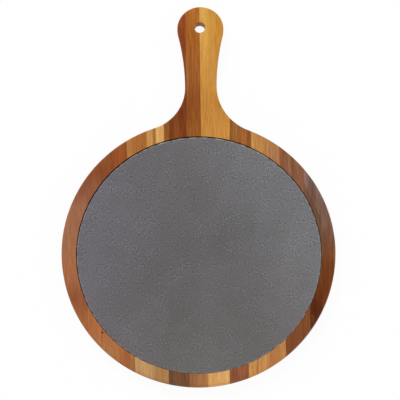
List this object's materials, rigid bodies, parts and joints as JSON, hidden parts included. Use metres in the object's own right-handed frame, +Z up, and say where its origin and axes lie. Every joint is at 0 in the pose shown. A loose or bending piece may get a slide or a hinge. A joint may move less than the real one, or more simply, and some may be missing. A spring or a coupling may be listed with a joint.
{
  "type": "serving board",
  "caption": "Round serving paddle of edge-glued acacia staves with a slate plate bonded into a recess and a waisted handle with a hanging hole.",
  "frame": {"origin": "on the flat underside, below the centre of the round board", "axes": "+Z up through the slate, +Y along the handle towards its hanging hole, +X to the right seen from above with the handle away from the viewer"},
  "size_m": [0.3299, 0.4773, 0.0142],
  "materials": {
    "acacia_gold": "oiled, satin",
    "acacia_tan": "oiled, satin",
    "acacia_red": "oiled, satin",
    "acacia_brown": "oiled, satin",
    "acacia_dark": "oiled, satin",
    "slate": "riven, oiled, matt",
    "silicone": "clear, cured"
  },
  "bodies": {
    "root": {"stave_01": "acacia_red", "stave_02": "acacia_red", "stave_03": "acacia_brown", "stave_04": "acacia_gold", "stave_05": "acacia_dark", "stave_06": "acacia_brown", "stave_07": "acacia_gold", "stave_08": "acacia_brown", "stave_09": "acacia_gold", "stave_10": "acacia_tan", "stave_11": "acacia_brown", "stave_12": "acacia_dark", "stave_13": "acacia_dark", "slate_plate": "slate", "adhesive_dab_middle": "silicone", "adhesive_dab_1": "silicone", "adhesive_dab_2": "silicone", "adhesive_dab_3": "silicone", "adhesive_dab_4": "silicone", "adhesive_dab_5": "silicone", "adhesive_dab_6": "silicone"}
  },
  "joints": []
}
